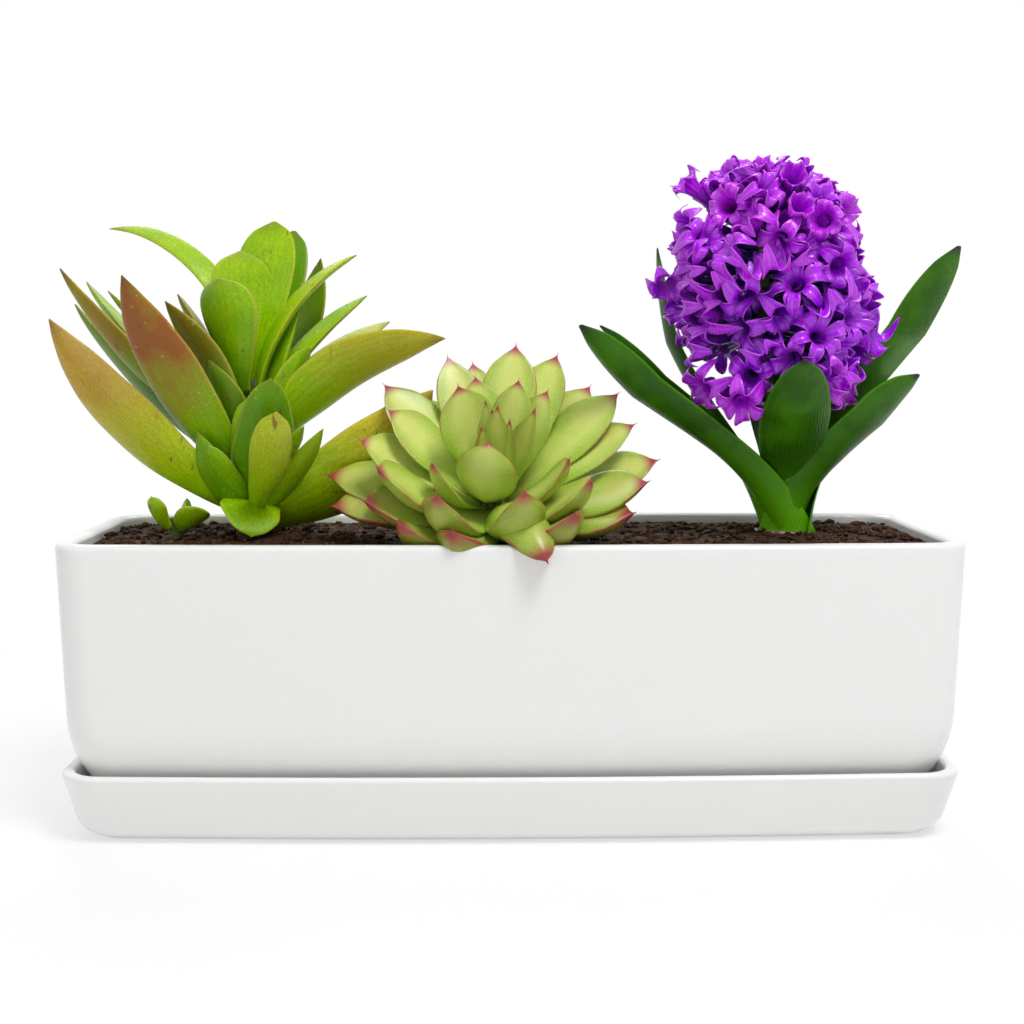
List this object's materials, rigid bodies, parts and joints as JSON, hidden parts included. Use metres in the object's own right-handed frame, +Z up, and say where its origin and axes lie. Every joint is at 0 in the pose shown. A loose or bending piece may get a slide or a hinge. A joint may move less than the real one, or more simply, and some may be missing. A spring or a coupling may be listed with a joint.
{
  "type": "planted trough planter with saucer",
  "caption": "White glazed rectangular planter on a matching drip saucer, planted with two succulents and a purple hyacinth.",
  "frame": {"origin": "centre of the saucer's underside, on the surface it stands on", "axes": "+X along the trough to the right, +Y to the back, +Z up"},
  "size_m": [0.3431, 0.1258, 0.2483],
  "materials": {
    "white_glaze": "white glaze, soft gloss",
    "mesh_plastic": "matte, moulded",
    "soil": "damp, granular",
    "stem_brown": "dry, fibrous",
    "fan_green": "waxy leaf with a red-brown blush",
    "rosette_green": "waxy leaf with magenta tips",
    "strap_green": "glossy leaf with fine veins",
    "bulb_skin": "dry papery skin",
    "petal_violet": "satin petals"
  },
  "bodies": {
    "saucer": {"saucer": "white_glaze"},
    "planter": {"drain_meshes": "mesh_plastic", "fan_leaf_arching_left": "fan_green", "fan_leaf_arching_right": "fan_green", "fan_leaf_crown_back": "fan_green", "fan_leaf_crown_front": "fan_green", "fan_leaf_crown_middle": "fan_green", "fan_leaf_crown_shade": "fan_green", "fan_leaf_front_blade": "fan_green", "fan_leaf_front_large": "fan_green", "fan_leaf_front_left_slim": "fan_green", "fan_leaf_front_oval": "fan_green", "fan_leaf_front_paddle": "fan_green", "fan_leaf_front_right_slim": "fan_green", "fan_leaf_front_small": "fan_green", "fan_leaf_inner_front_left": "fan_green", "fan_leaf_inner_left": "fan_green", "fan_leaf_left_back": "fan_green", "fan_leaf_left_large": "fan_green", "fan_leaf_left_shade": "fan_green", "fan_leaf_left_small": "fan_green", "fan_leaf_left_upper": "fan_green", "fan_leaf_right_back": "fan_green", "fan_leaf_right_large": "fan_green", "fan_leaf_right_low": "fan_green", "fan_leaf_right_shade": "fan_green", "fan_leaf_right_slim": "fan_green", "fan_offset_leaves": "fan_green", "fan_offset_stem": "stem_brown", "fan_stem": "stem_brown", "hyacinth_bulb": "bulb_skin", "hyacinth_florets_bottom": "petal_violet", "hyacinth_florets_lower": "petal_violet", "hyacinth_florets_middle": "petal_violet", "hyacinth_florets_top": "petal_violet", "hyacinth_florets_upper": "petal_violet", "hyacinth_leaf_back_left": "strap_green", "hyacinth_leaf_back_upright": "strap_green", "hyacinth_leaf_front_broad": "strap_green", "hyacinth_leaf_left_inner": "strap_green", "hyacinth_leaf_left_long": "strap_green", "hyacinth_leaf_right_long": "strap_green", "hyacinth_leaf_right_short": "strap_green", "hyacinth_scape": "strap_green", "planter_pot": "white_glaze", "potting_soil": "soil", "rosette_leaves_back": "rosette_green", "rosette_leaves_front": "rosette_green", "rosette_leaves_heart": "rosette_green", "rosette_leaves_inner": "rosette_green", "rosette_leaves_left": "rosette_green", "rosette_leaves_right": "rosette_green", "rosette_stem": "stem_brown"}
  },
  "joints": [
    {"name": "planter_lift", "type": "slide", "parent": "saucer", "child": "planter", "axis": [0, 0, 1], "range_m": [0, 0.05]}
  ]
}
